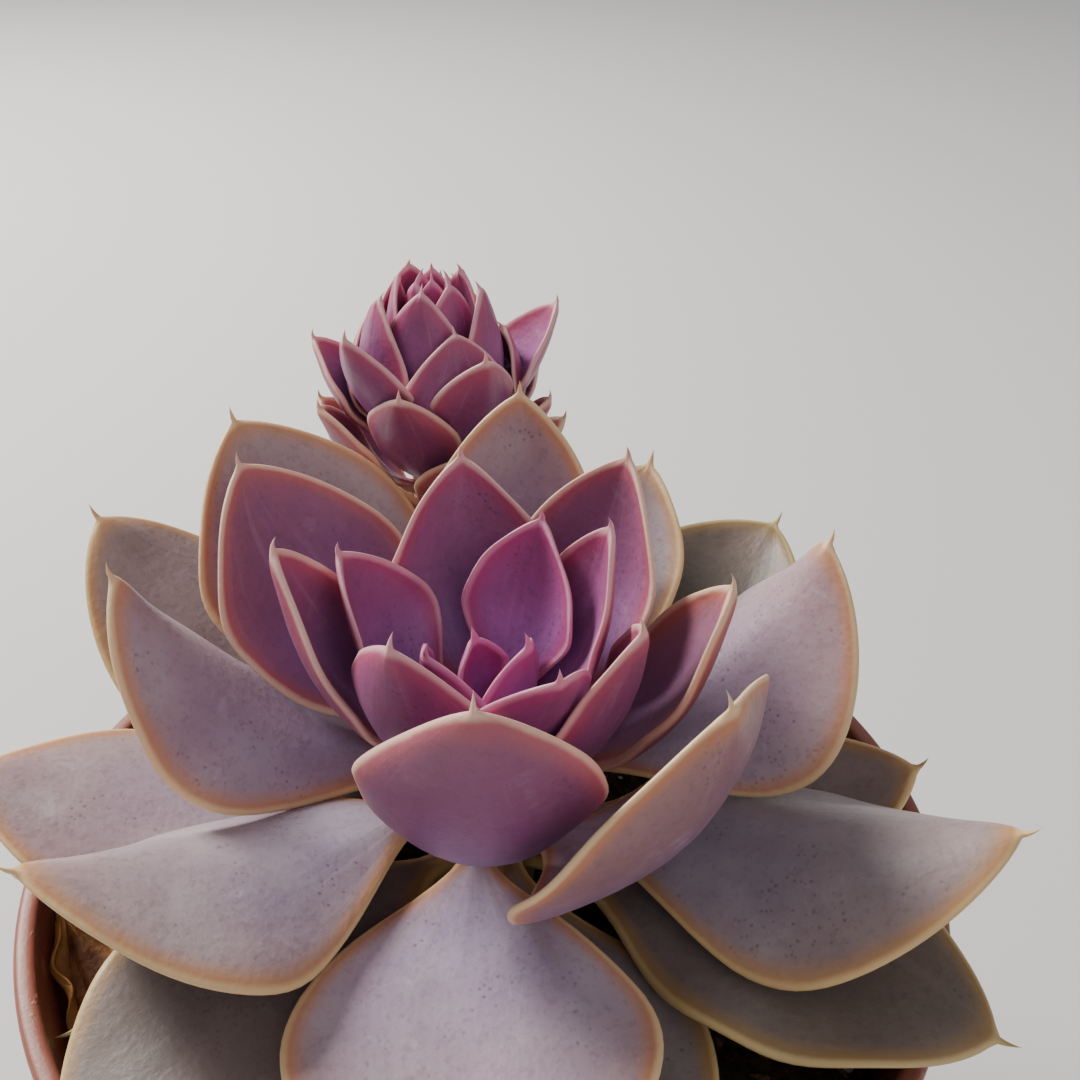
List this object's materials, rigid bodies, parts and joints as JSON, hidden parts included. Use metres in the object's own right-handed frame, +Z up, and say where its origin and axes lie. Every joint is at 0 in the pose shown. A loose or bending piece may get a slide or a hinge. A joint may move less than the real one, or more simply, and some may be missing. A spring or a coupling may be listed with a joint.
{
  "type": "potted succulent",
  "caption": "Purple rosette succulent with a smaller second head, growing in soil in a round plastic nursery pot.",
  "frame": {"origin": "middle of the pot's flat underside", "axes": "+Z up out of the pot, -Y towards the front, where the big low leaves hang over the rim; the second head stands at the back, towards +Y"},
  "size_m": [0.1262, 0.1373, 0.146],
  "materials": {
    "pot_plastic": "dull moulded plastic",
    "potting_soil": "rough, crumbly",
    "old_stem": "corky",
    "young_stem": "smooth, waxy",
    "dead_leaf": "dry, wrinkled",
    "head_leaf_skin": "smooth, waxy bloom",
    "rosette_leaf_skin": "smooth, waxy bloom"
  },
  "bodies": {
    "root": {"head_crown": "head_leaf_skin", "head_leaf_01": "head_leaf_skin", "head_leaf_02": "head_leaf_skin", "head_leaf_03": "head_leaf_skin", "head_leaf_04": "head_leaf_skin", "head_leaf_05": "head_leaf_skin", "head_leaf_06": "head_leaf_skin", "head_leaf_07": "head_leaf_skin", "head_leaf_08": "head_leaf_skin", "head_leaf_09": "head_leaf_skin", "head_leaf_10": "head_leaf_skin", "head_leaf_11": "head_leaf_skin", "head_leaf_12": "head_leaf_skin", "head_leaf_13": "head_leaf_skin", "head_leaf_14": "head_leaf_skin", "head_leaf_15": "head_leaf_skin", "head_stem": "young_stem", "main_stem": "old_stem", "pot": "pot_plastic", "rosette_leaf_01": "rosette_leaf_skin", "rosette_leaf_02": "rosette_leaf_skin", "rosette_leaf_03": "rosette_leaf_skin", "rosette_leaf_04": "rosette_leaf_skin", "rosette_leaf_05": "rosette_leaf_skin", "rosette_leaf_06": "rosette_leaf_skin", "rosette_leaf_07": "rosette_leaf_skin", "rosette_leaf_08": "rosette_leaf_skin", "rosette_leaf_09": "rosette_leaf_skin", "rosette_leaf_10": "rosette_leaf_skin", "rosette_leaf_11": "rosette_leaf_skin", "rosette_leaf_12": "rosette_leaf_skin", "rosette_leaf_13": "rosette_leaf_skin", "rosette_leaf_14": "rosette_leaf_skin", "rosette_leaf_15": "rosette_leaf_skin", "rosette_leaf_16": "rosette_leaf_skin", "rosette_leaf_17": "rosette_leaf_skin", "rosette_leaf_18": "rosette_leaf_skin", "rosette_leaf_19": "rosette_leaf_skin", "rosette_leaf_20": "rosette_leaf_skin", "rosette_leaf_21": "rosette_leaf_skin", "rosette_leaf_22": "rosette_leaf_skin", "rosette_leaf_23": "rosette_leaf_skin", "rosette_leaf_24": "rosette_leaf_skin", "rosette_leaf_25": "rosette_leaf_skin", "rosette_leaf_26": "rosette_leaf_skin", "rosette_leaf_27": "rosette_leaf_skin", "rosette_leaf_28": "rosette_leaf_skin", "rosette_leaf_29": "rosette_leaf_skin", "rosette_leaf_30": "rosette_leaf_skin", "rosette_leaf_31": "rosette_leaf_skin", "rosette_leaf_32": "rosette_leaf_skin", "rosette_leaf_33": "rosette_leaf_skin", "rosette_leaf_34": "rosette_leaf_skin", "rosette_leaf_35": "rosette_leaf_skin", "rosette_leaf_36": "rosette_leaf_skin", "rosette_leaf_37": "rosette_leaf_skin", "rosette_leaf_38": "rosette_leaf_skin", "rosette_leaf_39": "rosette_leaf_skin", "soil": "potting_soil", "withered_leaf": "dead_leaf"}
  },
  "joints": []
}
